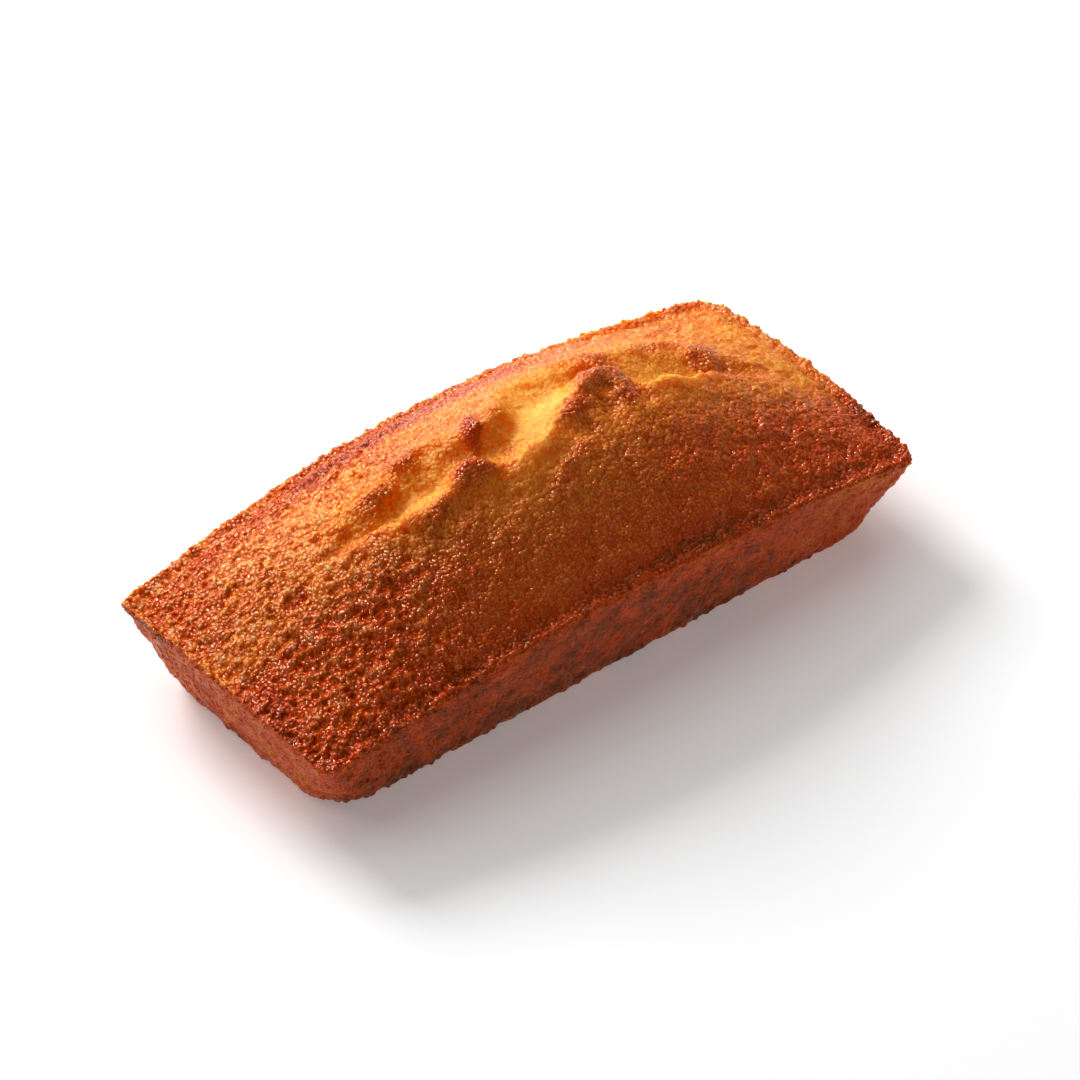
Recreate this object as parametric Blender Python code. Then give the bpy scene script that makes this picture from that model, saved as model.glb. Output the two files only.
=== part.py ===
"""A financier: a small almond cake baked in an ingot tin, with a domed top that split along its crown.

The whole cake is one solid. It stands on z = 0 with its long side along X, and its origin is the
centre of its base. Lengths are worked out in millimetres, and MM turns them into Blender's metres.
"""

import math

import bmesh
import bpy
from mathutils import Vector, noise

MM = 0.001

# The tin gives the walls: a rounded rectangle that flares as it rises.
BASE_LENGTH = 78.0
BASE_WIDTH = 30.9
END_FLARE = 0.33  # outward travel of an end wall for each millimetre of height
SIDE_FLARE = 0.32  # the same for a long wall
BASE_CORNER_RADIUS = 5.9
RIM_CORNER_RADIUS = 1.6
FULL_CORNER_RADIUS = 4.5  # the corner at +X +Y, which filled less sharply
FOOT_RADIUS = 1.2  # rounding where the walls meet the base

# The rim rises with the dough along the middle of each wall and stays low at the corners.
RIM_CORNER_HEIGHT = 10.5
RIM_RISE_SIDES = 4.5
RIM_RISE_ENDS = 1.2
RIM_RISE_POWER = 1.36

# The dome
CROWN_HEIGHT = 25.3
DOME_POWER_LONG = 1.2
DOME_POWER_ACROSS = 1.3

# A thin lip stands along the rim, with a shallow gutter inside it.
LIP_HEIGHT = 0.45
LIP_WIDTH = 0.7
GUTTER_DEPTH = 0.3
GUTTER_OFFSET = 2.0
GUTTER_WIDTH = 0.9

# The split along the crown, at stations along X. Its floor runs at a place in Y, between a front
# slope that rises towards -Y and a back scarp that rises towards +Y, each ending in a lip:
# x, floor y, front width, back width, depth, front lip and back lip.
SPLIT = (
    (-26.0, 1.2, 0.8, 1.0, 0.0, 0.0, 0.0),
    (-23.5, 1.0, 1.2, 2.6, 0.9, 0.2, 0.3),
    (-20.5, 0.8, 2.0, 3.6, 1.9, 0.3, 0.5),
    (-17.0, 0.7, 2.6, 4.0, 2.2, 0.4, 0.6),
    (-13.0, 0.6, 2.8, 4.8, 2.2, 0.5, 0.6),
    (-9.5, 0.8, 2.4, 4.6, 2.0, 0.5, 0.5),
    (-6.0, 0.4, 3.4, 3.2, 1.8, 0.3, 0.5),
    (-3.0, -0.2, 4.4, 2.6, 1.7, 0.3, 0.4),
    (0.0, 1.4, 5.2, 3.0, 1.7, 0.4, 0.4),
    (4.0, 4.1, 5.6, 3.8, 1.9, 0.6, 0.4),
    (8.0, 5.0, 4.4, 3.8, 1.8, 0.6, 0.4),
    (12.0, 5.2, 2.0, 3.6, 1.7, 0.3, 0.5),
    (14.5, 4.9, 1.6, 3.8, 2.4, 0.2, 0.7),
    (16.2, 1.9, 3.4, 7.0, 2.9, 0.4, 0.8),
    (20.0, 1.0, 2.4, 8.2, 2.9, 0.6, 0.7),
    (24.0, 0.8, 2.2, 8.4, 2.7, 0.6, 0.6),
    (27.0, 1.0, 1.8, 6.8, 2.0, 0.5, 0.5),
    (30.0, 0.2, 1.4, 5.0, 1.4, 0.4, 0.4),
    (33.0, -0.6, 1.2, 3.0, 0.7, 0.2, 0.3),
    (36.0, -1.0, 1.0, 1.0, 0.0, 0.0, 0.0),
)
LIP_REACH = 2.4  # how far a lip of the split takes to sink back into the crust

# Crags where the crust was pushed up beside the split, and hollows where the height is negative:
# x, y, half length, half width, turn in degrees from +X, and height.
CRAGS = (
    (-8.6, -2.4, 2.0, 1.8, 20.0, 1.5),
    (-18.2, 3.6, 2.3, 1.6, 25.0, 1.0),
    (-12.6, 5.0, 1.9, 1.5, 10.0, 0.9),
    (-4.4, 3.2, 3.0, 1.0, 56.0, 0.9),
    (-2.0, 2.6, 2.6, 1.3, 62.0, 1.1),
    (-15.4, -4.2, 2.4, 1.3, 15.0, 0.5),
    (10.8, 1.5, 2.8, 1.6, 14.0, 1.2),
    (14.0, 1.8, 1.3, 2.4, 0.0, 1.0),
    (13.6, -1.8, 1.3, 1.4, 0.0, 0.5),
    (6.4, -2.4, 1.8, 1.0, 10.0, 0.7),
    (4.9, -1.1, 0.8, 0.7, 0.0, 0.5),
    (10.6, -2.3, 1.0, 1.5, 0.0, -0.5),
    (6.2, -4.2, 1.6, 0.7, 10.0, -0.3),
    (-6.8, -6.6, 2.6, 1.4, 10.0, -0.4),
    (16.8, 8.0, 1.6, 1.4, 40.0, 0.4),
    (24.0, 7.6, 3.6, 1.2, 0.0, 0.4),
    (29.8, 4.0, 2.2, 1.3, 50.0, 0.5),
    (-31.0, 0.6, 1.4, 1.0, 0.0, -0.6),
    (-2.0, -4.6, 4.5, 1.0, 28.0, 0.5),
    (1.0, -7.0, 5.0, 1.0, 28.0, 0.4),
    (20.0, -1.6, 3.4, 0.5, 0.0, 0.2),
)

# Unevenness of the risen dough: wavelength and height of the broad swells and the smaller lumps
SWELL_LENGTH, SWELL_HEIGHT = 14.0, 0.45
LUMP_LENGTH, LUMP_HEIGHT = 3.6, 0.22
WANDER_LENGTH, WANDER = 3.2, 0.8  # how the edges of the split and the crags wander
WANDER_SEED = 1795485963  # without a seed, Blender takes this noise's from the clock
QUIET_MARGIN = 3.0  # the dough's unevenness fades out over this distance from the rim

# Mesh density
CELLS_LONG, CELLS_ACROSS = 90, 42
WALL_LEVELS = (0.8, 0.58, 0.36, 0.18)  # shares of the rim's height, above the foot's rounding
FOOT_STEPS = 2

CRUST_COLOUR = (0.50, 0.17, 0.03, 1.0)
CRUST_ROUGHNESS = 0.55


def smooth_step(value):
    """0 below 0, 1 above 1 and an even curve between them."""
    t = min(1.0, max(0.0, value))
    return t * t * (3.0 - 2.0 * t)


def bell(value):
    return math.exp(-value * value)


def half_sizes(height):
    """Half the length and half the width inside the tin at a height."""
    return BASE_LENGTH / 2 + END_FLARE * height, BASE_WIDTH / 2 + SIDE_FLARE * height


def rim_height(u, v):
    """Height of the rim, carried inwards: u and v run from -1 to 1 over the length and the width."""
    along, across = max(0.0, 1 - u * u), max(0.0, 1 - v * v)
    return (
        RIM_CORNER_HEIGHT
        + RIM_RISE_SIDES * along**RIM_RISE_POWER
        + RIM_RISE_ENDS * across**RIM_RISE_POWER
    )


def corner_radius(u, v, level):
    """Corner radius at a share of the wall's height, from the base at 0 to the rim at 1."""
    full = smooth_step(4 * u) * smooth_step(4 * v)
    at_rim = RIM_CORNER_RADIUS + (FULL_CORNER_RADIUS - RIM_CORNER_RADIUS) * full
    return BASE_CORNER_RADIUS + (at_rim - BASE_CORNER_RADIUS) * level


def plan(u, v, height, radius, inset=0.0):
    """Point of the rounded rectangle at a height, as x and y."""
    half_x, half_y = half_sizes(height)
    half_x, half_y = half_x - inset, half_y - inset
    share = max(abs(u), abs(v))
    x, y = half_x * u, half_y * v
    flat_x, flat_y = (half_x - radius) * share, (half_y - radius) * share
    centre_x = min(flat_x, max(-flat_x, x))
    centre_y = min(flat_y, max(-flat_y, y))
    away_x, away_y = x - centre_x, y - centre_y
    if away_x and away_y:
        pull = radius * share / math.hypot(away_x, away_y)
        return centre_x + away_x * pull, centre_y + away_y * pull
    return x, y


def split_station(x):
    """The split's floor y, widths, depth and lips at x, between the two nearest stations."""
    for before, after in zip(SPLIT, SPLIT[1:]):
        if before[0] <= x <= after[0]:
            share = (x - before[0]) / (after[0] - before[0])
            return [start + share * (end - start) for start, end in zip(before[1:], after[1:])]
    return SPLIT[0][1:]


def split_relief(x, y):
    """Height of the split's floor, walls and lips over the smooth dome."""
    floor_y, front_width, back_width, depth, front_lip, back_lip = split_station(x)
    off = y - floor_y
    width, lip = (back_width, back_lip) if off > 0 else (front_width, front_lip)
    share = abs(off) / width
    if share < 1:
        return -depth + (depth + lip) * smooth_step(share)
    return lip * bell((share - 1) * width / LIP_REACH)


def crag_height(x, y):
    """How far the crags raise the top at a point."""
    total = 0.0
    for crag_x, crag_y, half_long, half_wide, turn, height in CRAGS:
        cosine, sine = math.cos(math.radians(turn)), math.sin(math.radians(turn))
        off_x, off_y = x - crag_x, y - crag_y
        along = (off_x * cosine + off_y * sine) / half_long
        across = (off_y * cosine - off_x * sine) / half_wide
        total += height * bell(math.hypot(along, across))
    return total


def relief(x, y, from_rim):
    """Everything that stands on the smooth dome, given the distance in from the rim."""
    wander = noise.noise_vector(Vector((x, y, 0.0)) / WANDER_LENGTH) * WANDER
    split = split_relief(x + wander.x, y + wander.y)
    crags = crag_height(x + wander.x, y + wander.y)
    swell = SWELL_HEIGHT * noise.noise(Vector((x, y, 20.0)) / SWELL_LENGTH)
    lumps = LUMP_HEIGHT * noise.noise(Vector((x, y, 40.0)) / LUMP_LENGTH)
    lip = LIP_HEIGHT * bell(from_rim / LIP_WIDTH)
    gutter = GUTTER_DEPTH * bell((from_rim - GUTTER_OFFSET) / GUTTER_WIDTH)
    return (crags + split + swell + lumps) * smooth_step(from_rim / QUIET_MARGIN) + lip - gutter


def top_point(u, v):
    """Point of the domed top."""
    rim = rim_height(u, v)
    x, y = plan(u, v, rim, corner_radius(u, v, 1.0))
    along, across = max(0.0, 1 - u * u), max(0.0, 1 - v * v)
    centre_rim = RIM_CORNER_HEIGHT + RIM_RISE_SIDES + RIM_RISE_ENDS
    dome = (CROWN_HEIGHT - centre_rim) * along**DOME_POWER_LONG * across**DOME_POWER_ACROSS
    half_x, half_y = half_sizes(rim)
    from_rim = min(half_x - abs(x), half_y - abs(y))
    return Vector((x, y, rim + dome + relief(x, y, from_rim)))


def wall_point(u, v, level):
    """Point of the wall, at a share of the rim's height there."""
    height = rim_height(u, v) * level
    x, y = plan(u, v, height, corner_radius(u, v, level))
    return Vector((x, y, height))


def foot_point(u, v, step):
    """Point of the rounding under the walls: step 0 is its upper end and FOOT_STEPS the flat base."""
    turn = math.pi / 2 * step / FOOT_STEPS
    height = FOOT_RADIUS * (1 - math.sin(turn))
    inset = FOOT_RADIUS * (1 - math.cos(turn))
    x, y = plan(u, v, height, BASE_CORNER_RADIUS, inset)
    return Vector((x, y, height))


def border(columns, rows):
    """Column and row of each grid point round the edge of the grid, anticlockwise from above."""
    south = [(i, 0) for i in range(columns)]
    east = [(columns, j) for j in range(rows)]
    north = [(i, rows) for i in range(columns, 0, -1)]
    west = [(0, j) for j in range(rows, 0, -1)]
    return south + east + north + west


def add_ring(mesh, points, ring_above):
    """Adds a ring of points below the last one and the faces between the two."""
    ring = [mesh.verts.new(point * MM) for point in points]
    for k in range(len(ring)):
        after = (k + 1) % len(ring)
        mesh.faces.new((ring_above[after], ring_above[k], ring[k], ring[after]))
    return ring


def cake_mesh():
    mesh = bmesh.new()
    places = {
        (i, j): (2 * i / CELLS_LONG - 1, 2 * j / CELLS_ACROSS - 1)
        for i in range(CELLS_LONG + 1)
        for j in range(CELLS_ACROSS + 1)
    }
    grid = {key: mesh.verts.new(top_point(*place) * MM) for key, place in places.items()}
    for i in range(CELLS_LONG):
        for j in range(CELLS_ACROSS):
            corners = ((i, j), (i + 1, j), (i + 1, j + 1), (i, j + 1))
            mesh.faces.new([grid[key] for key in corners])
    edge = border(CELLS_LONG, CELLS_ACROSS)
    ring = [grid[key] for key in edge]
    for level in WALL_LEVELS:
        ring = add_ring(mesh, [wall_point(*places[key], level) for key in edge], ring)
    for step in range(FOOT_STEPS + 1):
        ring = add_ring(mesh, [foot_point(*places[key], step) for key in edge], ring)
    mesh.faces.new(ring[::-1])
    return mesh


def crust_material():
    material = bpy.data.materials.new("crust")
    material.use_nodes = True
    shader = material.node_tree.nodes["Principled BSDF"]
    shader.inputs["Base Color"].default_value = CRUST_COLOUR
    shader.inputs["Roughness"].default_value = CRUST_ROUGHNESS
    shader.inputs["Metallic"].default_value = 0.0
    material.diffuse_color = CRUST_COLOUR
    return material


def main():
    for old in list(bpy.data.objects):
        bpy.data.objects.remove(old)
    noise.seed_set(WANDER_SEED)
    built = cake_mesh()
    data = bpy.data.meshes.new("financier_cake")
    built.to_mesh(data)
    built.free()
    data.shade_smooth()
    data.materials.append(crust_material())
    cake = bpy.data.objects.new("financier_cake", data)
    bpy.context.scene.collection.objects.link(cake)


main()
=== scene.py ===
"""The looks of a financier: a small almond cake, glossy with butter, its domed top split at the crown.

Lengths are in millimetres, and MM turns them into Blender's metres. Only the lights' places and sizes,
the floor's reach and the camera's clipping are in metres. A tone is how browned a place is, from 0,
pale crumb, to 1, dark crust; the crumb's creases and hollows also get painted shade as tone.
"""

import math

import bmesh
import bpy
import numpy as np
from mathutils import Matrix, Vector, noise


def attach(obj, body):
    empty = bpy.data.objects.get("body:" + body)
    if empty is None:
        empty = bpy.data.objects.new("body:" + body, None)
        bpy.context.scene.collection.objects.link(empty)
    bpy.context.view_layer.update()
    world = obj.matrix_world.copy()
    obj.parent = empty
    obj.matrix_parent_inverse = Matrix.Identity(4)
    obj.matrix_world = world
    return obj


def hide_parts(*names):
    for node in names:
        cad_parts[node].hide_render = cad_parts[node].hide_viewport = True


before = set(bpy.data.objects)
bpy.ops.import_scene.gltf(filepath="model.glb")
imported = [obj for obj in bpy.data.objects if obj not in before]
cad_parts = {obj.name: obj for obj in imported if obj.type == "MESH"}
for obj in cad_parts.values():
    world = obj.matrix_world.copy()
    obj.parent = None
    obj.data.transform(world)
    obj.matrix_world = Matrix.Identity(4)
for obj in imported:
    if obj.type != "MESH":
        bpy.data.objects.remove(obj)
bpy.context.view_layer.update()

MM = 0.001
NODE = "financier_cake"

# ---------------------------------------------------------------- form: the CAD's, with a softer split
BASE_LENGTH, BASE_WIDTH = 78.0, 30.9
END_FLARE, SIDE_FLARE = 0.33, 0.32  # outward travel of a wall for each millimetre of height
BASE_CORNER_RADIUS, RIM_CORNER_RADIUS = 5.9, 1.6
FULL_CORNER_RADIUS = 4.5  # the rim's corner at +X +Y, which filled less sharply
FOOT_RADIUS = 1.2  # rounding where the walls meet the base
RIM_CORNER_HEIGHT, RIM_RISE_SIDES, RIM_RISE_ENDS, RIM_RISE_POWER = 10.5, 4.5, 1.2, 1.36
CROWN_HEIGHT, DOME_POWER_LONG, DOME_POWER_ACROSS = 25.3, 1.2, 1.3
LIP_HEIGHT, LIP_WIDTH = 0.25, 0.9  # the raised edge that runs along the rim
GUTTER_DEPTH, GUTTER_OFFSET, GUTTER_WIDTH = 0.3, 2.0, 0.9  # the hollow just inside it
SWELL_LENGTH, SWELL_HEIGHT, SWELL_LEVEL = 14.0, 0.45, 20.0  # the level is where its noise is cut
LUMP_LENGTH, LUMP_HEIGHT, LUMP_LEVEL = 3.6, 0.22, 40.0
WANDERS = ((3.2, 0.8), (1.3, 0.45))  # wavelength and reach of each wander of the split's edges
WANDER_SEED = 1795485963  # the CAD's: without a seed, Blender takes this noise's from the clock
QUIET_MARGIN = 3.0  # the dough's unevenness fades out over this distance from the rim

# The split along the crown, at stations along X. Its floor runs at a place in Y, between a front
# slope that rises towards -Y and a back scarp that rises towards +Y, each ending in a lip:
# x, floor y, front width, back width, depth, front lip, back lip, tone of the bared crumb.
SPLIT = (
    (-26.0, 1.2, 0.8, 1.0, 0.0, 0.0, 0.0, 0.35),
    (-23.5, 1.0, 1.2, 2.6, 0.8, 0.2, 0.2, 0.27),
    (-20.5, 0.8, 2.0, 3.8, 1.4, 0.3, 0.3, 0.19),
    (-17.0, 0.6, 2.6, 4.6, 1.6, 0.4, 0.4, 0.14),
    (-13.0, 0.4, 2.8, 5.4, 1.6, 0.5, 0.4, 0.12),
    (-9.5, 0.6, 2.4, 5.2, 1.6, 0.5, 0.4, 0.15),
    (-6.0, 0.2, 3.4, 4.0, 1.6, 0.3, 0.4, 0.20),
    (-3.0, -0.4, 4.4, 3.6, 1.6, 0.3, 0.3, 0.20),
    (0.0, 1.2, 5.2, 4.0, 1.6, 0.4, 0.3, 0.13),
    (4.0, 3.9, 5.6, 4.8, 1.7, 0.6, 0.2, 0.07),
    (8.0, 4.7, 4.4, 4.8, 1.6, 0.6, 0.2, 0.07),
    (12.0, 5.0, 2.0, 4.4, 1.5, 0.3, 0.3, 0.12),
    (14.5, 4.7, 1.6, 4.2, 2.0, 0.2, 0.5, 0.23),
    (16.2, 1.9, 3.4, 7.4, 2.2, 0.4, 0.5, 0.17),
    (20.0, 1.0, 2.4, 8.6, 2.1, 0.6, 0.4, 0.13),
    (24.0, 0.8, 2.2, 8.8, 2.0, 0.6, 0.4, 0.15),
    (27.0, 1.0, 1.8, 7.2, 1.7, 0.5, 0.4, 0.23),
    (30.0, 0.2, 1.4, 5.4, 1.2, 0.4, 0.3, 0.31),
    (33.0, -0.6, 1.2, 3.2, 0.6, 0.2, 0.2, 0.37),
    (36.0, -1.0, 1.0, 1.0, 0.0, 0.0, 0.0, 0.37),
)
SPLIT_LIP_REACH = 2.4  # how far a lip of the split takes to sink back into the crust
BARED_EDGE, BARED_FADE = 0.7, 0.6  # where crust starts on a slope and how fast, in shares of its width
BACK_LIP_TONE, FRONT_LIP_TONE, LIP_TONE_REACH = 0.28, 0.34, 1.7  # the lips are paler than the crust
LIP_TONE_COVER = 0.8  # how far a lip's tone takes over from the crust's
BACK_SCARP_TONE = 0.05  # how much browner the top of the back scarp is than its foot

# Crags of crust beside the split, and hollows where the height is negative:
# x, y, half length, half width, turn in degrees from +X, height, tone, how far the tone takes over.
CRAGS = (
    (-8.6, -2.1, 2.8, 2.4, 20.0, 1.3, 0.50, 1.0),
    (-17.8, 3.0, 2.6, 1.7, 20.0, 0.9, 0.45, 1.0),
    (-12.2, 5.2, 2.4, 1.7, 10.0, 0.8, 0.45, 1.0),
    (-4.5, 3.0, 3.0, 1.1, 56.0, 0.7, 0.64, 1.0),
    (-1.2, 3.4, 3.2, 1.6, 66.0, 0.9, 0.30, 0.9),
    (-15.4, -4.0, 2.6, 1.5, 15.0, 0.5, 0.44, 0.8),
    (-17.6, -2.4, 1.8, 1.1, 0.0, 0.4, 0.24, 0.8),
    (-12.4, -2.8, 1.8, 1.1, 10.0, 0.4, 0.26, 0.8),
    (10.6, 1.8, 2.8, 2.0, 20.0, 1.1, 0.44, 1.0),
    (13.9, 2.2, 1.8, 2.4, 0.0, 0.9, 0.40, 1.0),
    (13.6, -1.8, 1.6, 1.8, 0.0, 0.5, 0.46, 0.9),
    (6.6, -1.6, 2.4, 1.4, 10.0, 0.6, 0.52, 1.0),
    (10.4, -2.4, 1.4, 1.7, 0.0, -0.4, 0.30, 0.8),
    (6.2, -4.2, 1.9, 1.0, 10.0, -0.3, 0.32, 0.7),
    (-6.6, -6.4, 3.2, 1.8, 10.0, -0.4, 0.24, 0.9),
    (16.6, 7.4, 2.2, 2.0, 30.0, 0.3, 0.42, 0.9),
    (24.0, 7.4, 4.0, 1.6, 0.0, 0.3, 0.40, 0.7),
    (29.2, 3.8, 2.8, 2.1, 50.0, 0.4, 0.48, 0.9),
    (-31.0, 0.6, 1.6, 1.2, 0.0, -0.6, 0.56, 0.7),
    (-1.6, -4.2, 4.8, 1.6, 28.0, 0.5, 0.12, 0.9),
    (1.0, -7.6, 5.0, 1.2, 28.0, 0.4, 0.44, 0.6),
    (21.5, -1.5, 5.2, 1.0, 0.0, 0.3, 0.10, 0.9),
)
CRAG_POWER = 1.8  # above 1, a crag is a knob with steep sides
CRAG_TONE_EDGE, CRAG_TONE_FADE = 0.3, 1.2  # where its tone gives way and how fast, in its half sizes

# ---------------------------------------------------------------- browning, as tones, with painted shade and a painted sheen
# The crust's own tone, and what is added to it by place. Left is towards -X and front towards -Y.
CRUST_TONE, FRONT_TONE = 0.20, 0.26
LEFT_TONE, LEFT_END_TONE, RIGHT_END_TONE, BACK_RIGHT_TONE = -0.02, 0.08, -0.06, -0.02
FRONT_MIDDLE_TONE, LEFT_FRONT_RIM_TONE, FRONT_CORNER_TONE = -0.05, 0.05, 0.03
BACK_BAND_TONE, FRONT_RIM_TONE, END_RIM_TONE = 0.36, 0.20, 0.10  # the browned bands along the rim
PALE_PATCHES = ((-5.0, -6.5, 6.0, 4.0, 0.15), (3.0, -7.0, 14.0, 4.5, 0.08))  # x, y, reach x, y, tone
LOWEST_CRUST_TONE = 0.17  # the patterns make crust no paler than this
WALL_TONE_SIDES, WALL_TONE_ENDS, BASE_TONE = 0.60, 0.44, 0.62
WALL_TOP_TONE_SIDES, WALL_TOP_TONE_ENDS, WALL_FOOT_TONE = -0.06, 0.05, 0.09
PALE_SIDE_END_TONE = 0.14  # how much paler the long walls are towards +X
WALL_MOTTLE_LENGTH, WALL_MOTTLE_TONE = 3.0, 0.12
TOP_MOTTLE_LENGTH, TOP_MOTTLE_TONE = 6.0, 0.06
SPECK_LENGTH, WALL_SPECK_TONE, TOP_SPECK_TONE = 1.6, 0.14, 0.06
CREASE_MEAN, CREASE_SHADE_TONE = 0.35, 0.12  # painted shade: creases are darker than the tops of the beads
LIT_FINE_CREASE_SHADE, LIT_COARSE_CREASE_SHADE = 0.06, 0.12  # more painted shade in the creases, added on the crust that faces the light
# How far the tops of the grains are lightened by a painted sheen, and how much browner the crust is
# under it.
LEFT_FRONT_PAINTED_SHEEN, LEFT_BACK_PAINTED_SHEEN, BACK_PAINTED_SHEEN, RIGHT_PAINTED_SHEEN, LEAST_PAINTED_SHEEN = 0.35, 1.3, 0.8, 0.5, 0.15
BACK_WALL_PAINTED_SHEEN = 0.6  # as a share of the painted sheen of the top beside it
UNDER_SHEEN_TONE = 0.02
FINE_GRAIN, PALE_GRAIN = 0.7, 0.35  # how much of the grain is left on fine crust and on pale crumb
WHOLE_GRAIN_TONE = 0.35  # from this tone on, paleness takes no grain away

# ---------------------------------------------------------------- crumb
WARP_LENGTH, WARP_REACH = 1.9, 0.5  # the beads' edges wander
CREASE_SHARPNESS = 4.0
BEAD_LENGTH, SMALL_BEAD_LENGTH = 0.92, 0.60
WALL_BEAD_HEIGHT, FINE_BEAD_HEIGHT, COARSE_BEAD_HEIGHT = 0.17, 0.10, 0.34
SMALL_BEAD_HEIGHT = 0.12
BARED_CRUMB_SHARE = 0.6  # height of the crumb inside the split, as a share of the crust's
PIT_SHARE = 0.10  # share of the beads that are missing
FINE_PIT_DEPTH, COARSE_PIT_DEPTH = 0.12, 0.45
CRUMB_LUMP_LENGTH, CRUMB_LUMP_HEIGHT = 2.2, 0.22
ROUGHNESS_LAYERS = ((0.9, 1.0, 50.0), (0.5, 0.6, 60.0))  # length, share and seed of each
ROUGHNESS_HEIGHT = 0.14
RIM_CRUMB_LENGTH, RIM_CRUMB_HEIGHT = 0.62, 0.45  # of the crumbs that stand off the rim
RIM_CRUMB_SUNK = 0.6  # the share of their height that is below the crust

# ---------------------------------------------------------------- mesh density
COLUMNS, ROWS = 344, 160  # cells of the top, both multiples of BASE_COARSENING
BASE_COARSENING = 4  # how much wider the cells of the hidden base are
BASE_STRIP = 0.8  # width of the strips round the base, in its cells
WALL_RINGS = 33
FOOT_RINGS = 3
RIM_ROUNDING, RIM_RINGS = 0.7, 2  # how far in, and how many rings down, the rim's edge is rounded
RIM_SMOOTHING = 6  # passes
TOP_FADE = 1.5  # how far in from the rim the walls' crumb turns into the top's

# ---------------------------------------------------------------- camera and light
CAMERA_AZIMUTH, CAMERA_ELEVATION = -39.1, 40.88
CAMERA_DISTANCE = 1000.0
CAMERA_LENS, SENSOR = 300.3, 36.0
CLIP_START, CLIP_END = 0.05, 20.0
AIM_HEIGHT = 12.0
AIM_RIGHT, AIM_UP = 2.04, -2.49  # where the camera looks, across and up its own view
KEY_AZIMUTH, KEY_DISTANCE = 180.0, 1.0
# Name, elevation, size in metres and power of each layer of the key light.
KEY_LAYERS = (("key_core", 34.0, 0.36, 7.6), ("key_spread", 48.0, 2.0, 11.0))
WORLD_COLOUR, WORLD_STRENGTH = (0.97, 0.99, 1.0), 0.31
SKY_SHARES = ((0.0, 1.0), (0.5, 1.0), (0.8, 0.35), (1.0, 0.3))  # sine of the elevation and brightness
FILM_GAMMA = 0.77
FILM_BLACK = (0.0, 0.003, 0.012)
FLOOR_REACH, FLOOR_ROUGHNESS = 3.0, 0.9
FLOOR_COLOUR, FLOOR_GLOW = (0.85, 0.85, 0.85, 1.0), 0.26  # the glow keeps the shadow light


def smooth_step(value):
    """0 below 0, 1 above 1 and an even curve between them."""
    t = np.clip(value, 0.0, 1.0)
    return t * t * (3.0 - 2.0 * t)


def bell(value):
    return np.exp(-np.square(value))


def past(value, start, width):
    """0 up to the start, and 1 from a width beyond it."""
    return smooth_step((value - start) / width)


def near(value, middle, reach):
    """1 at the middle, about a third at the reach and 0 well beyond it."""
    return bell((value - middle) / reach)


def blend(low, high, share):
    return low + (high - low) * share


# ---------------------------------------------------------------- noise on arrays of points
def gradient_noise(points, length, seed):
    """Smooth noise from about -0.5 to 0.5 with features of the given length."""
    return np.array([noise.noise(p) for p in (points / length + seed).tolist()])


def cell_noise(points, length, seed):
    """Distances to the two nearest cell centres, in cells, and a number from 0 to 1 for each cell."""
    nearest, second, chance = [], [], []
    for point in (points / length + seed).tolist():
        distances, centres = noise.voronoi(point)
        nearest.append(distances[0])
        second.append(distances[1])
        chance.append(noise.cell(centres[0] * 7.31))
    return np.array(nearest), np.array(second), np.array(chance)


# ---------------------------------------------------------------- form
def half_sizes(height):
    return BASE_LENGTH / 2 + END_FLARE * height, BASE_WIDTH / 2 + SIDE_FLARE * height


def rise_shares(u, v):
    return np.maximum(0.0, 1 - u * u), np.maximum(0.0, 1 - v * v)


def rim_height(u, v):
    along, across = rise_shares(u, v)
    ends = RIM_RISE_ENDS * across**RIM_RISE_POWER
    return RIM_CORNER_HEIGHT + RIM_RISE_SIDES * along**RIM_RISE_POWER + ends


def corner_radius(u, v, level):
    full = smooth_step(4 * u) * smooth_step(4 * v)
    at_rim = blend(RIM_CORNER_RADIUS, FULL_CORNER_RADIUS, full)
    return blend(BASE_CORNER_RADIUS, at_rim, level)


def plan(u, v, height, radius, inset=0.0):
    """Points of the rounded rectangle at each height, as x and y."""
    half_x, half_y = half_sizes(height)
    half_x, half_y = half_x - inset, half_y - inset
    share = np.maximum(np.abs(u), np.abs(v))
    x, y = half_x * u, half_y * v
    flat_x, flat_y = (half_x - radius) * share, (half_y - radius) * share
    centre_x, centre_y = np.clip(x, -flat_x, flat_x), np.clip(y, -flat_y, flat_y)
    away_x, away_y = x - centre_x, y - centre_y
    rounded = (away_x != 0) & (away_y != 0)
    pull = np.where(rounded, radius * share / np.maximum(np.hypot(away_x, away_y), 1e-9), 1.0)
    return centre_x + away_x * pull, centre_y + away_y * pull


def split_relief(x, y):
    """Height of the split's walls and lips, how bared the crumb is and the bared crumb's tone."""
    stations = np.array(SPLIT)
    values = [np.interp(x, stations[:, 0], column) for column in stations.T[1:]]
    floor_y, front_width, back_width, depth, front_lip, back_lip, tone = values
    off = y - floor_y
    width = np.where(off > 0, back_width, front_width)
    lip = np.where(off > 0, back_lip, front_lip)
    share = np.abs(off) / width
    wall = blend(-depth, lip, smooth_step(share))
    beyond = lip * bell((share - 1) * width / SPLIT_LIP_REACH)
    bared = (1 - past(share, BARED_EDGE, BARED_FADE)) * smooth_step(depth)
    tone = tone + np.where(off > 0, BACK_SCARP_TONE, 0.0) * smooth_step(share)
    lip_share = bell((share - 1) * width / LIP_TONE_REACH) * smooth_step(depth)
    tone = blend(np.where(off > 0, BACK_LIP_TONE, FRONT_LIP_TONE), tone, bared)
    bared = np.maximum(bared, LIP_TONE_COVER * lip_share)
    return np.where(share < 1, wall, beyond), bared, tone


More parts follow.
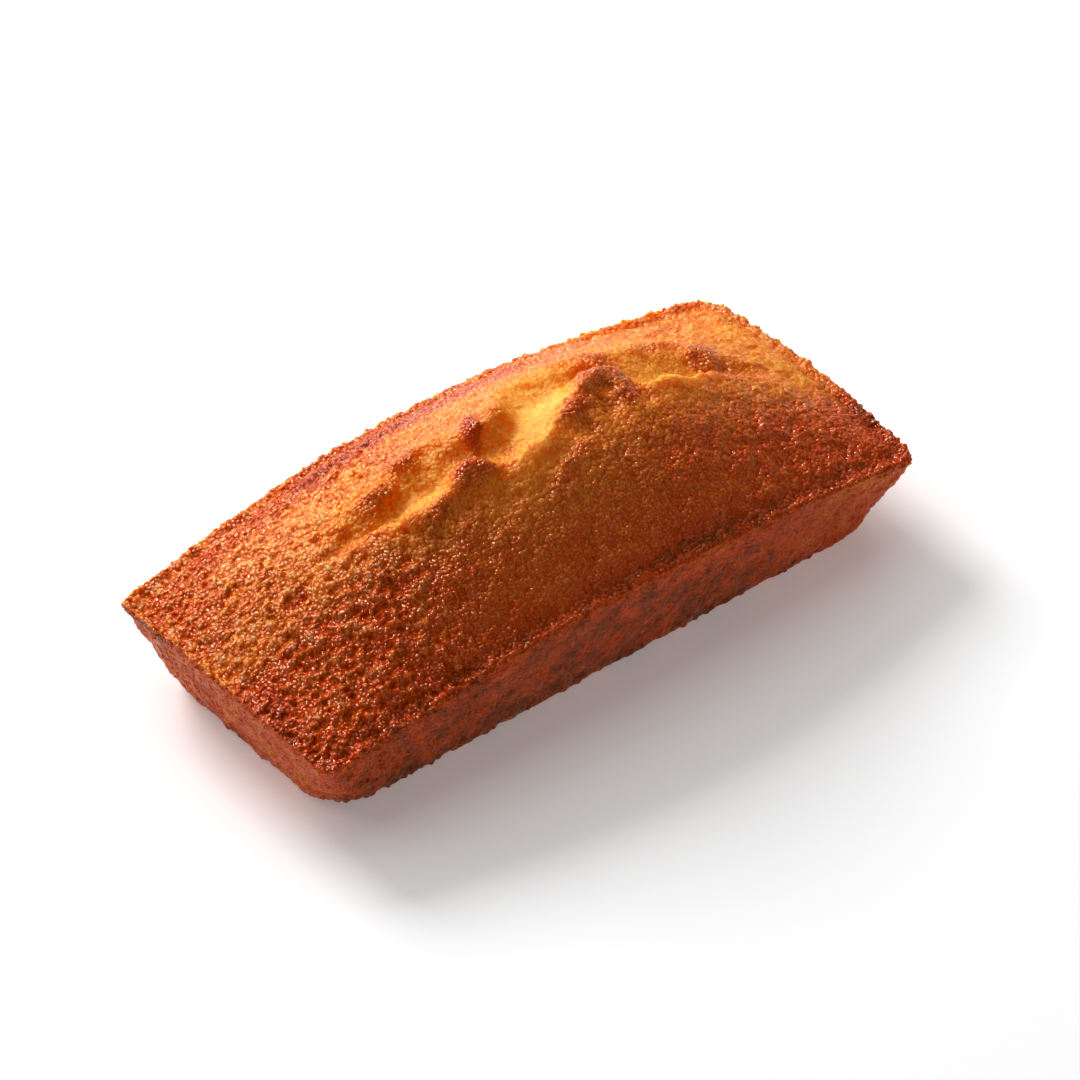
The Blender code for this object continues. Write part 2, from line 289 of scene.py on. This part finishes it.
def crag_relief(x, y, tone):
    """Height of the crags, and the tone that the crags change."""
    height = np.zeros_like(x)
    for crag_x, crag_y, half_long, half_wide, turn, rise, crag_tone, cover in CRAGS:
        cosine, sine = math.cos(math.radians(turn)), math.sin(math.radians(turn))
        off_x, off_y = x - crag_x, y - crag_y
        along = (off_x * cosine + off_y * sine) / half_long
        across = (off_y * cosine - off_x * sine) / half_wide
        reach = np.hypot(along, across)
        height += rise * bell(reach**CRAG_POWER)
        tone = blend(tone, crag_tone, cover * (1 - past(reach, CRAG_TONE_EDGE, CRAG_TONE_FADE)))
    return height, tone


def wandered(x, y):
    """The places shifted a little, so that drawn edges wander as torn dough does."""
    for length, reach in WANDERS:
        points = np.stack((x, y, np.zeros_like(x)), axis=-1) / length
        shift = np.array([noise.noise_vector(p) for p in points.tolist()]) * reach
        x, y = x + shift[:, 0], y + shift[:, 1]
    return x, y


def distance_from_rim(x, y, height):
    half_x, half_y = half_sizes(height)
    return np.minimum(half_x - np.abs(x), half_y - np.abs(y))


def top_surface(u, v):
    """Points of the domed top before its crumb, with their distance from the rim, baring and tone."""
    rim = rim_height(u, v)
    x, y = plan(u, v, rim, corner_radius(u, v, 1.0))
    half_x, half_y = half_sizes(rim)
    level_u, level_v = x / half_x, y / half_y  # as u and v, without the bend at the corners
    along, across = rise_shares(level_u, level_v)
    centre_rim = RIM_CORNER_HEIGHT + RIM_RISE_SIDES + RIM_RISE_ENDS
    dome = (CROWN_HEIGHT - centre_rim) * along**DOME_POWER_LONG * across**DOME_POWER_ACROSS
    from_rim = distance_from_rim(x, y, rim)
    torn_x, torn_y = wandered(x, y)
    split, bared, bared_tone = split_relief(torn_x, torn_y)
    tone = blend(crust_tone(x, y, from_rim), bared_tone, bared)
    crags, tone = crag_relief(torn_x, torn_y, tone)
    flat = np.stack((x, y, np.zeros_like(x)), axis=-1)
    swell = SWELL_HEIGHT * gradient_noise(flat + (0, 0, SWELL_LEVEL), SWELL_LENGTH, 0.0)
    lumps = LUMP_HEIGHT * gradient_noise(flat + (0, 0, LUMP_LEVEL), LUMP_LENGTH, 0.0)
    lip = LIP_HEIGHT * bell(from_rim / LIP_WIDTH)
    gutter = GUTTER_DEPTH * near(from_rim, GUTTER_OFFSET, GUTTER_WIDTH)
    inner = smooth_step(from_rim / QUIET_MARGIN)
    z = rim_height(level_u, level_v) + dome + (crags + split + swell + lumps) * inner + lip - gutter
    return np.stack((x, y, z), axis=-1), from_rim, bared, tone


def crust_tone(x, y, from_rim):
    """How browned the top's crust is, from its place alone."""
    left = past(-x, 17.0, 6.0)
    front = past(-y, 2.0 - 2.0 * left, 8.0 - 2.0 * left)
    back = past(y, 0.0, 3.0)
    corner = (np.abs(x) / 42.5) ** 6 * (np.abs(y) / 20.0) ** 3
    tone = CRUST_TONE + FRONT_TONE * front + LEFT_TONE * left
    tone += LEFT_END_TONE * past(-x, 24.0, 14.0) * (1 - front)
    tone += RIGHT_END_TONE * past(x, 30.0, 9.0) * past(y, -9.0, 9.0)
    tone += BACK_RIGHT_TONE * back * past(x, 12.0, 10.0)
    tone += FRONT_MIDDLE_TONE * front * near(x, 0.0, 14.0)
    for patch_x, patch_y, reach_x, reach_y, paler in PALE_PATCHES:
        tone -= paler * near(x, patch_x, reach_x) * near(y, patch_y, reach_y)
    tone += LEFT_FRONT_RIM_TONE * left * front * past(-from_rim, -6.0, 5.0)
    tone += BACK_BAND_TONE * back * near(from_rim, 4.0, 2.6) * near(x, -8.0, 22.0)
    along_front = past(-y, 0.0, 10.0) * blend(0.4, 1.0, near(x, 8.0, 16.0))
    tone += FRONT_RIM_TONE * near(from_rim, 1.5, 1.3) * along_front
    tone += END_RIM_TONE * near(from_rim, 0.8, 1.6) * past(x, 30.0, 8.0) * past(y, -16.0, 8.0)
    return tone + FRONT_CORNER_TONE * front * smooth_step(corner)


def wall_tone(u, v, level):
    """How browned the walls are at a level between the base, 0, and the rim, 1."""
    side = past(np.abs(v) - np.abs(u), -0.15, 0.4)  # 1 on a long wall, 0 on an end wall
    tone = blend(WALL_TONE_ENDS, WALL_TONE_SIDES, side)
    tone += blend(WALL_TOP_TONE_ENDS, WALL_TOP_TONE_SIDES, side) * past(level, 0.80, 0.15)
    tone += WALL_FOOT_TONE * past(-level, -0.35, 0.3)
    return tone - PALE_SIDE_END_TONE * side * past(u, 0.35, 0.4)


def wall_surface(u, v, level):
    height = rim_height(u, v) * level
    x, y = plan(u, v, height, corner_radius(u, v, level))
    return np.stack((x, y, height), axis=-1)


def foot_surface(u, v, turn):
    """Points of the rounding under the walls: turn runs from 0 at its top to a quarter turn."""
    height = FOOT_RADIUS * (1 - math.sin(turn)) * np.ones_like(u)
    inset = FOOT_RADIUS * (1 - math.cos(turn))
    x, y = plan(u, v, height, BASE_CORNER_RADIUS, inset)
    return np.stack((x, y, height), axis=-1)


# ---------------------------------------------------------------- mesh
def border(columns, rows):
    """Column and row of each grid point round the edge, anticlockwise from above."""
    south = [(i, 0) for i in range(columns)]
    east = [(columns, j) for j in range(rows)]
    north = [(i, rows) for i in range(columns, 0, -1)]
    west = [(0, j) for j in range(rows, 0, -1)]
    return south + east + north + west


class Shell:
    """Collects the points and faces of the cake's skin, with each point's tone."""

    def __init__(self):
        self.points, self.tones, self.faces, self.count = [], [], [], 0

    def add_points(self, points, tone):
        first = self.count
        self.points.append(points)
        self.tones.append(tone * np.ones(len(points)))
        self.count += len(points)
        return np.arange(first, self.count)

    def add_ring(self, points, tone, above):
        ring = self.add_points(points, tone)
        after, above_after = np.roll(ring, -1), np.roll(above, -1)
        self.faces += np.stack((above_after, above, ring, after), axis=-1).tolist()
        return ring


def grid_places(columns, rows):
    u, v = np.meshgrid(np.linspace(-1, 1, columns + 1), np.linspace(-1, 1, rows + 1), indexing="ij")
    return u.ravel(), v.ravel()


def grid_faces(index, flip=False):
    corners = (index[:-1, :-1], index[1:, :-1], index[1:, 1:], index[:-1, 1:])
    faces = np.stack(corners, axis=-1).reshape(-1, 4)
    return (faces[:, ::-1] if flip else faces).tolist()


def build_shell():
    shell = Shell()
    u, v = grid_places(COLUMNS, ROWS)
    top, from_rim, bared, tone = top_surface(u, v)
    index = shell.add_points(top, tone).reshape(COLUMNS + 1, ROWS + 1)
    shell.faces += grid_faces(index)
    edge = border(COLUMNS, ROWS)
    ring = np.array([index[key] for key in edge])
    edge_u, edge_v = u[ring], v[ring]
    foot_share = FOOT_RADIUS / rim_height(edge_u, edge_v)
    for step in range(1, WALL_RINGS):
        level = blend(1.0, foot_share, step / WALL_RINGS)
        tone = wall_tone(edge_u, edge_v, level)
        ring = shell.add_ring(wall_surface(edge_u, edge_v, level), tone, ring)
    for step in range(FOOT_RINGS + 1):
        turn = math.pi / 2 * step / FOOT_RINGS
        ring = shell.add_ring(foot_surface(edge_u, edge_v, turn), wall_tone(edge_u, edge_v, 0.0), ring)
    close_base(shell, ring)
    return shell, from_rim, bared


def close_base(shell, ring):
    """Fills the base with a coarse grid, inside strips that each halve the number of points."""
    level, edge = 1, ring.tolist()
    while level < BASE_COARSENING:
        level *= 2
        columns, rows = COLUMNS // level, ROWS // level
        u, v = grid_places(columns, rows)
        shrink = 1.0 - BASE_STRIP * level / columns
        x, y = plan(u * shrink, v * shrink, np.zeros_like(u), BASE_CORNER_RADIUS, FOOT_RADIUS)
        places = np.stack((x, y, np.zeros_like(x)), axis=-1)
        index = np.arange(len(places)).reshape(columns + 1, rows + 1)
        keys = border(columns, rows)
        if level < BASE_COARSENING:
            inner = shell.add_points(places[[index[key] for key in keys]], BASE_TONE).tolist()
        else:
            index = shell.add_points(places, BASE_TONE).reshape(columns + 1, rows + 1)
            shell.faces += grid_faces(index, flip=True)
            inner = [index[key] for key in keys]
        join_halved(shell, edge, inner)
        edge = inner


def join_halved(shell, outer, inner):
    """Faces between a loop and the loop inside it, which has half as many points."""
    for k, point in enumerate(inner):
        after, far = inner[(k + 1) % len(inner)], outer[(2 * k + 2) % len(outer)]
        shell.faces.append([outer[2 * k + 1], outer[2 * k], point])
        shell.faces.append([far, outer[2 * k + 1], point])
        shell.faces.append([far, point, after])


def new_mesh(name, points, faces):
    data = bpy.data.meshes.new(name)
    data.from_pydata((points * MM).tolist(), [], faces)
    data.update()
    return data


def vertex_normals(data):
    normals = np.zeros(len(data.vertices) * 3, np.float32)
    data.vertex_normals.foreach_get("vector", normals)
    return normals.reshape(-1, 3).astype(float)


# ---------------------------------------------------------------- crumb
def coarse_share(x, y):
    """1 where the crust is coarse and beaded, towards -X, and 0 where it is fine."""
    return past(0.45 * y - x, 6.0, 16.0)


def crease_rise(nearest, second):
    """0 in the crease between two beads and about 1 away from it."""
    return 1 - np.exp(-CREASE_SHARPNESS * (second - nearest))


def beads(points, length, seed):
    """Rounded beads of crumb between creases: from 0 in a crease to about 1 on the tallest beads."""
    nearest, second, chance = cell_noise(points, length, seed)
    return crease_rise(nearest, second) * blend(0.55, 1.15, chance)


def crumb(points, top_share, coarse, bared):
    """Height of the crumb on each point, and how deep in a crease the point is."""
    warp = np.stack([gradient_noise(points, WARP_LENGTH, seed) for seed in (3.0, 7.0, 11.0)], axis=-1)
    points = points + WARP_REACH * warp
    nearest, second, chance = cell_noise(points, BEAD_LENGTH, 0.0)
    large = crease_rise(nearest, second) * blend(0.6, 1.1, chance) * (1.3 - nearest * nearest)
    small = beads(points, SMALL_BEAD_LENGTH, 31.0)
    pit = past(-chance, -PIT_SHARE, 0.05) * (1 - past(nearest, 0.0, 0.8))
    lump = gradient_noise(points, CRUMB_LUMP_LENGTH, 66.0)
    layers = [share * gradient_noise(points, length, seed) for length, share, seed in ROUGHNESS_LAYERS]
    top_height = blend(FINE_BEAD_HEIGHT, COARSE_BEAD_HEIGHT, coarse)
    large_height = blend(WALL_BEAD_HEIGHT, top_height, top_share)
    pit_depth = blend(FINE_PIT_DEPTH, COARSE_PIT_DEPTH, coarse * top_share)
    height = large_height * (large - 0.5) + SMALL_BEAD_HEIGHT * (small - 0.5)
    height = height - pit_depth * pit + ROUGHNESS_HEIGHT * sum(layers) + CRUMB_LUMP_HEIGHT * lump
    crease = blend(1.1 - 1.3 * small, 1.1 - 1.4 * large, coarse * top_share) + 0.8 * pit
    return height * blend(1.0, BARED_CRUMB_SHARE, bared), np.clip(crease, 0, 1)


def all_tones(points, tone, crease, painted_sheen, top_share):
    """The tone of each point: its place's, with mottling, specks, painted shade in creases and browner
    crust under the painted sheen.
    """
    wall_mottle = gradient_noise(points, WALL_MOTTLE_LENGTH, 75.0)
    top_mottle = gradient_noise(points, TOP_MOTTLE_LENGTH, 70.0)
    mottle = blend(wall_mottle, top_mottle, top_share)
    speck = gradient_noise(points, SPECK_LENGTH, 80.0)
    coarse = coarse_share(points[:, 0], points[:, 1])
    facing = past(points[:, 1], -2.0, 8.0)  # the crust that faces the light
    lit_crease_shade = blend(LIT_FINE_CREASE_SHADE, LIT_COARSE_CREASE_SHADE, coarse) * facing
    # the crust is browner where a painted sheen lightens the grains' tops
    tone = tone + UNDER_SHEEN_TONE * painted_sheen * past(tone, 0.1, 0.15)
    pattern = blend(WALL_MOTTLE_TONE, TOP_MOTTLE_TONE, top_share) * mottle
    pattern += blend(WALL_SPECK_TONE, TOP_SPECK_TONE, top_share) * speck
    # painted shade: creases and pits are darker, more so on the crust that faces the light
    pattern += (CREASE_SHADE_TONE + lit_crease_shade) * (crease - CREASE_MEAN)
    return np.maximum(tone + pattern, np.minimum(tone, LOWEST_CRUST_TONE))


def painted_sheen_share(x, y, top_share):
    """How far the tops of the grains are lightened by a painted sheen: most on the ends and on the
    back.
    """
    left = past(-x, 10.0, 14.0) * blend(LEFT_FRONT_PAINTED_SHEEN, LEFT_BACK_PAINTED_SHEEN, past(y, -14.0, 16.0))
    back = BACK_PAINTED_SHEEN * past(y, 1.0, 5.0)
    right = RIGHT_PAINTED_SHEEN * past(x, 16.0, 14.0) * past(y, -18.0, 10.0)
    top = np.maximum(np.maximum(left, back), np.maximum(right, LEAST_PAINTED_SHEEN))
    return top * blend(BACK_WALL_PAINTED_SHEEN * past(y, 8.0, 6.0), 1.0, top_share)


def set_attribute(data, name, values):
    attribute = data.attributes.new(name, "FLOAT", "POINT")
    attribute.data.foreach_set("value", values.astype(np.float32))


def smooth_rim(data, near_rim):
    """Rounds the edge between the top and the walls."""
    mesh = bmesh.new()
    mesh.from_mesh(data)
    mesh.verts.ensure_lookup_table()
    chosen = [mesh.verts[k] for k in np.flatnonzero(near_rim)]
    all_axes = dict(use_axis_x=True, use_axis_y=True, use_axis_z=True)
    for _ in range(RIM_SMOOTHING):
        bmesh.ops.smooth_vert(mesh, verts=chosen, factor=0.5, **all_axes)
    mesh.to_mesh(data)
    mesh.free()


def raise_crumb(data, points, height):
    """Moves each point out by its height, and keeps the base flat."""
    on_base = points[:, 2] < 1e-4
    height[on_base] = np.minimum(height[on_base], 0.0) * 0.5
    moved = points + vertex_normals(data) * height[:, None]
    moved[:, 2] = np.maximum(moved[:, 2], 0.0)
    data.vertices.foreach_set("co", (moved * MM).ravel())
    data.update()
    data.shade_smooth()


def build_cake():
    noise.seed_set(WANDER_SEED)
    shell, from_rim, bared_top = build_shell()
    points, tones = np.concatenate(shell.points), np.concatenate(shell.tones)
    data = new_mesh("cake_crust", points, shell.faces)
    top_count, ring_count = len(from_rim), 2 * (COLUMNS + ROWS)
    near_rim = np.zeros(len(points), bool)
    near_rim[:top_count] = from_rim < RIM_ROUNDING
    near_rim[top_count : top_count + RIM_RINGS * ring_count] = True
    smooth_rim(data, near_rim)
    points = np.array([v.co for v in data.vertices]) / MM
    top_share, bared = np.zeros(len(points)), np.zeros(len(points))
    top_share[:top_count] = smooth_step(from_rim / TOP_FADE)
    bared[:top_count] = bared_top
    coarse = coarse_share(points[:, 0], points[:, 1])
    height, crease = crumb(points, top_share, coarse, bared)
    rim_crumbs = beads(points, RIM_CRUMB_LENGTH, 91.0) - RIM_CRUMB_SUNK
    raise_crumb(data, points, height + RIM_CRUMB_HEIGHT * near_rim * rim_crumbs)
    painted_sheen = painted_sheen_share(points[:, 0], points[:, 1], top_share)
    crusty = smooth_step(tones / WHOLE_GRAIN_TONE)
    grain = blend(FINE_GRAIN, 1.0, coarse) * blend(PALE_GRAIN, 1.0, crusty)
    set_attribute(data, "tone", all_tones(points, tones, crease * (1 - bared), painted_sheen, top_share))
    # painted sheen: only on the tops of the beads, and not on bared crumb
    set_attribute(data, "painted_sheen", painted_sheen * (1 - crease) * (1 - bared))
    set_attribute(data, "grain", grain)
    cake = bpy.data.objects.new("cake_crust", data)
    bpy.context.scene.collection.objects.link(cake)
    return cake


# ---------------------------------------------------------------- material
TONES = (
    (0.00, (0.98, 0.57, 0.16)),
    (0.10, (0.98, 0.45, 0.065)),
    (0.22, (0.93, 0.31, 0.024)),
    (0.30, (0.87, 0.25, 0.020)),
    (0.38, (0.76, 0.190, 0.014)),
    (0.56, (0.71, 0.093, 0.007)),
    (0.78, (0.30, 0.044, 0.007)),
    (1.00, (0.15, 0.022, 0.010)),
)
SHEEN_COLOUR, SHEEN_LEVEL = (1.0, 0.92, 0.78, 1.0), 0.85  # of the butter on the crust
PAINTED_SHEEN_COLOUR, PAINTED_SHEEN_REACH = (0.75, 0.61, 0.47, 1.0), 0.55  # painted sheen on the tops of the grains; the reach is in grains
PALE_ROUGHNESS, CRUST_ROUGHNESS = 0.75, 0.20
PALE_GLOW, CRUST_GLOW = 6.0, 0.5  # how far light spreads inside
CRUST_FROM_TONE = 0.43  # from this tone on, roughness and glow are the crust's
GLOW_SHARE, GLOW_BY_COLOUR = 0.8, (1.0, 0.35, 0.10)
GRAIN_LENGTH, GRAIN_REACH, GRAIN_HEIGHT = 0.48, 0.6, 0.14  # beads too fine for the mesh
ROUGH_LENGTH, ROUGH_DETAIL, ROUGH_HEIGHT = 0.20, 2.0, 0.05
FINE_MOTTLE_LENGTH, FINE_MOTTLE_DETAIL = 0.9, 3.0
FINE_MOTTLE_TONE, GRAIN_HOLLOW_SHADE, ROUGH_HOLLOW_SHADE = 0.04, 0.13, 0.09  # the mottle browns the crust; the grain and rough patterns darken the bump's hollows as painted shade


def fill_ramp(ramp, stops):
    """Sets the colour at each position of a colour ramp."""
    elements = ramp.color_ramp.elements
    while len(elements) < len(stops):
        elements.new(0.5)
    for element, (position, colour) in zip(elements, stops):
        element.position = position
        element.color = (*colour, 1.0)


def add_math(nodes, operation, *values):
    """A maths node with numbers set and sockets linked as its inputs."""
    node = nodes.new("ShaderNodeMath")
    node.operation = operation
    for socket, value in zip(node.inputs, values):
        if isinstance(value, bpy.types.NodeSocket):
            node.id_data.links.new(value, socket)
        else:
            socket.default_value = value
    return node.outputs["Value"]


def add_attribute(nodes, name):
    node = nodes.new("ShaderNodeAttribute")
    node.attribute_name = name
    return node.outputs["Fac"]


def add_noise(nodes, place, length, detail):
    """Noise around 0.5 with features of a length in millimetres."""
    node = nodes.new("ShaderNodeTexNoise")
    node.inputs["Scale"].default_value = 1 / (length * MM)
    node.inputs["Detail"].default_value = detail
    node.id_data.links.new(place, node.inputs["Vector"])
    return node.outputs["Fac"]


def add_grains(nodes, place, length):
    """Distance from the nearest grain's middle, in grains."""
    node = nodes.new("ShaderNodeTexVoronoi")
    node.feature = "F1"
    node.inputs["Scale"].default_value = 1 / (length * MM)
    node.id_data.links.new(place, node.inputs["Vector"])
    return node.outputs["Distance"]


def add_falling(nodes, tone, pale, crusty):
    """A value that falls from the pale crumb's to the crust's as the tone rises."""
    slope = -(pale - crusty) / CRUST_FROM_TONE
    return add_math(nodes, "MAXIMUM", add_math(nodes, "MULTIPLY_ADD", tone, slope, pale), crusty)


def add_browned_colour(nodes, links, tone, grains):
    """The colour of each tone, with a painted sheen on the tops of the grains."""
    ramp = nodes.new("ShaderNodeValToRGB")
    fill_ramp(ramp, TONES)
    links.new(tone, ramp.inputs["Fac"])
    # painted highlight: the grains' tops are mixed towards a pale sheen colour
    top = add_math(nodes, "MULTIPLY_ADD", grains, -1.0 / PAINTED_SHEEN_REACH, 1.0)
    top = add_math(nodes, "MAXIMUM", top, 0.0)
    painted_sheen_mix = nodes.new("ShaderNodeMix")
    painted_sheen_mix.data_type = "RGBA"
    links.new(add_math(nodes, "MULTIPLY", top, add_attribute(nodes, "painted_sheen")), painted_sheen_mix.inputs["Factor"])
    links.new(ramp.outputs["Color"], painted_sheen_mix.inputs["A"])
    painted_sheen_mix.inputs["B"].default_value = PAINTED_SHEEN_COLOUR
    return painted_sheen_mix.outputs["Result"]


def crust_material():
    material = bpy.data.materials.new("browned_crust")
    material.use_nodes = True
    nodes, links = material.node_tree.nodes, material.node_tree.links
    shader = nodes["Principled BSDF"]
    place = nodes.new("ShaderNodeTexCoord").outputs["Object"]
    mottle = add_noise(nodes, place, FINE_MOTTLE_LENGTH, FINE_MOTTLE_DETAIL)
    grains = add_grains(nodes, place, GRAIN_LENGTH)
    rough = add_noise(nodes, place, ROUGH_LENGTH, ROUGH_DETAIL)
    patterns = FINE_MOTTLE_TONE + GRAIN_HOLLOW_SHADE - ROUGH_HOLLOW_SHADE  # each pattern has a mean of about a half
    tone = add_math(nodes, "ADD", add_attribute(nodes, "tone"), -0.5 * patterns)
    tone = add_math(nodes, "MULTIPLY_ADD", mottle, FINE_MOTTLE_TONE, tone)
    # painted shade: the bump's hollows, at the grains' edges and in the rough noise's lows, are darker
    tone = add_math(nodes, "MULTIPLY_ADD", grains, GRAIN_HOLLOW_SHADE, tone)
    tone = add_math(nodes, "MULTIPLY_ADD", rough, -ROUGH_HOLLOW_SHADE, tone)
    links.new(add_browned_colour(nodes, links, tone, grains), shader.inputs["Base Color"])
    squared = add_math(nodes, "MULTIPLY", grains, grains)
    sunk = add_math(nodes, "MULTIPLY", squared, -GRAIN_HEIGHT / GRAIN_REACH**2)
    height = add_math(nodes, "MULTIPLY_ADD", rough, ROUGH_HEIGHT, sunk)
    height = add_math(nodes, "MULTIPLY", height, add_attribute(nodes, "grain"))
    bump = nodes.new("ShaderNodeBump")
    bump.inputs["Strength"].default_value = 1.0
    bump.inputs["Distance"].default_value = MM
    links.new(height, bump.inputs["Height"])
    links.new(bump.outputs["Normal"], shader.inputs["Normal"])
    links.new(add_falling(nodes, tone, PALE_ROUGHNESS, CRUST_ROUGHNESS), shader.inputs["Roughness"])
    shader.inputs["Specular IOR Level"].default_value = SHEEN_LEVEL
    shader.inputs["Specular Tint"].default_value = SHEEN_COLOUR
    shader.inputs["Subsurface Weight"].default_value = GLOW_SHARE
    shader.inputs["Subsurface Radius"].default_value = GLOW_BY_COLOUR
    glow = add_falling(nodes, tone, PALE_GLOW, CRUST_GLOW)
    links.new(add_math(nodes, "MULTIPLY", glow, MM), shader.inputs["Subsurface Scale"])
    return material


# ---------------------------------------------------------------- studio
def direction(azimuth, elevation):
    """From the cake towards a camera or a light: azimuth 0 is towards -Y."""
    turn, rise = math.radians(azimuth), math.radians(elevation)
    level = math.cos(rise)
    return Vector((math.sin(turn) * level, -math.cos(turn) * level, math.sin(rise)))


def add_camera():
    back = direction(CAMERA_AZIMUTH, CAMERA_ELEVATION)
    right = Vector((0, 0, 1)).cross(back).normalized()
    up = back.cross(right)
    aim = (Vector((0, 0, AIM_HEIGHT)) + right * AIM_RIGHT + up * AIM_UP) * MM
    data = bpy.data.cameras.new("camera")
    data.lens, data.sensor_width = CAMERA_LENS, SENSOR
    data.clip_start, data.clip_end = CLIP_START, CLIP_END
    camera = bpy.data.objects.new("camera", data)
    bpy.context.scene.collection.objects.link(camera)
    turn = Matrix((right, up, back)).transposed().to_4x4()
    camera.matrix_world = Matrix.Translation(aim + back * CAMERA_DISTANCE * MM) @ turn
    bpy.context.scene.camera = camera


def add_key_light():
    """A soft box behind the cake: a broad light with a brighter middle."""
    for name, elevation, size, power in KEY_LAYERS:
        away = direction(KEY_AZIMUTH, elevation)
        data = bpy.data.lights.new(name, "AREA")
        data.shape, data.size, data.energy = "SQUARE", size, power
        light = bpy.data.objects.new(name, data)
        bpy.context.scene.collection.objects.link(light)
        light.location = away * KEY_DISTANCE
        light.rotation_euler = away.to_track_quat("Z", "Y").to_euler()


def set_world():
    """Studio walls, with a dimmer ceiling."""
    world = bpy.data.worlds.new("studio")
    world.use_nodes = True
    nodes, links = world.node_tree.nodes, world.node_tree.links
    background = nodes["Background"]
    place = nodes.new("ShaderNodeTexCoord")
    parts = nodes.new("ShaderNodeSeparateXYZ")
    links.new(place.outputs["Generated"], parts.inputs["Vector"])
    ramp = nodes.new("ShaderNodeValToRGB")
    stops = [(rise, [channel * share for channel in WORLD_COLOUR]) for rise, share in SKY_SHARES]
    fill_ramp(ramp, stops)
    links.new(parts.outputs["Z"], ramp.inputs["Fac"])
    links.new(ramp.outputs["Color"], background.inputs["Color"])
    background.inputs["Strength"].default_value = WORLD_STRENGTH
    bpy.context.scene.world = world


def set_film():
    """A plain display transform with the contrast of a studio print."""
    view = bpy.context.scene.view_settings
    view.view_transform = "Standard"
    view.gamma = FILM_GAMMA
    view.use_curve_mapping = True
    view.curve_mapping.black_level = FILM_BLACK
    view.curve_mapping.update()


def add_floor():
    data = bpy.data.meshes.new("floor")
    signs = ((-1, -1), (1, -1), (1, 1), (-1, 1))
    corners = [(x * FLOOR_REACH, y * FLOOR_REACH, 0) for x, y in signs]
    data.from_pydata(corners, [], [(0, 1, 2, 3)])
    material = bpy.data.materials.new("white_paper")
    material.use_nodes = True
    shader = material.node_tree.nodes["Principled BSDF"]
    shader.inputs["Base Color"].default_value = FLOOR_COLOUR
    shader.inputs["Roughness"].default_value = FLOOR_ROUGHNESS
    shader.inputs["Emission Color"].default_value = (1.0, 1.0, 1.0, 1.0)
    shader.inputs["Emission Strength"].default_value = FLOOR_GLOW
    data.materials.append(material)
    floor = bpy.data.objects.new("floor", data)
    bpy.context.scene.collection.objects.link(floor)


add_camera()
add_key_light()
set_world()
add_floor()
set_film()

cake = build_cake()
cake.data.materials.append(crust_material())
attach(cake, "root")
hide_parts(NODE)
